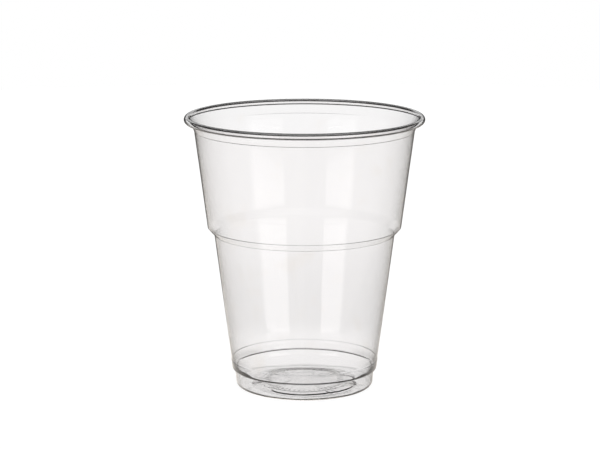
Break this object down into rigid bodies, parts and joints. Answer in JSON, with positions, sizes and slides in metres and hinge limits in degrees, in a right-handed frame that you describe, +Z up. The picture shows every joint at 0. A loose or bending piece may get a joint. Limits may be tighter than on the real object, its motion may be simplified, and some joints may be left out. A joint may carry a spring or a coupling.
{
  "type": "plastic disposable cup",
  "caption": "Clear disposable cold-drink cup in one piece: rolled rim, flared neck, tapered walls with a shoulder, ledge, and a foot ring round a raised floor.",
  "frame": {"origin": "centre of the foot ring's flat underside, on the surface that the cup stands on", "axes": "+Z up along the cup's axis, towards the mouth; the cup is round, so X and Y are alike"},
  "size_m": [0.095, 0.095, 0.109],
  "materials": {
    "clear_plastic": "gloss"
  },
  "bodies": {
    "root": {"cup": "clear_plastic"}
  },
  "joints": []
}
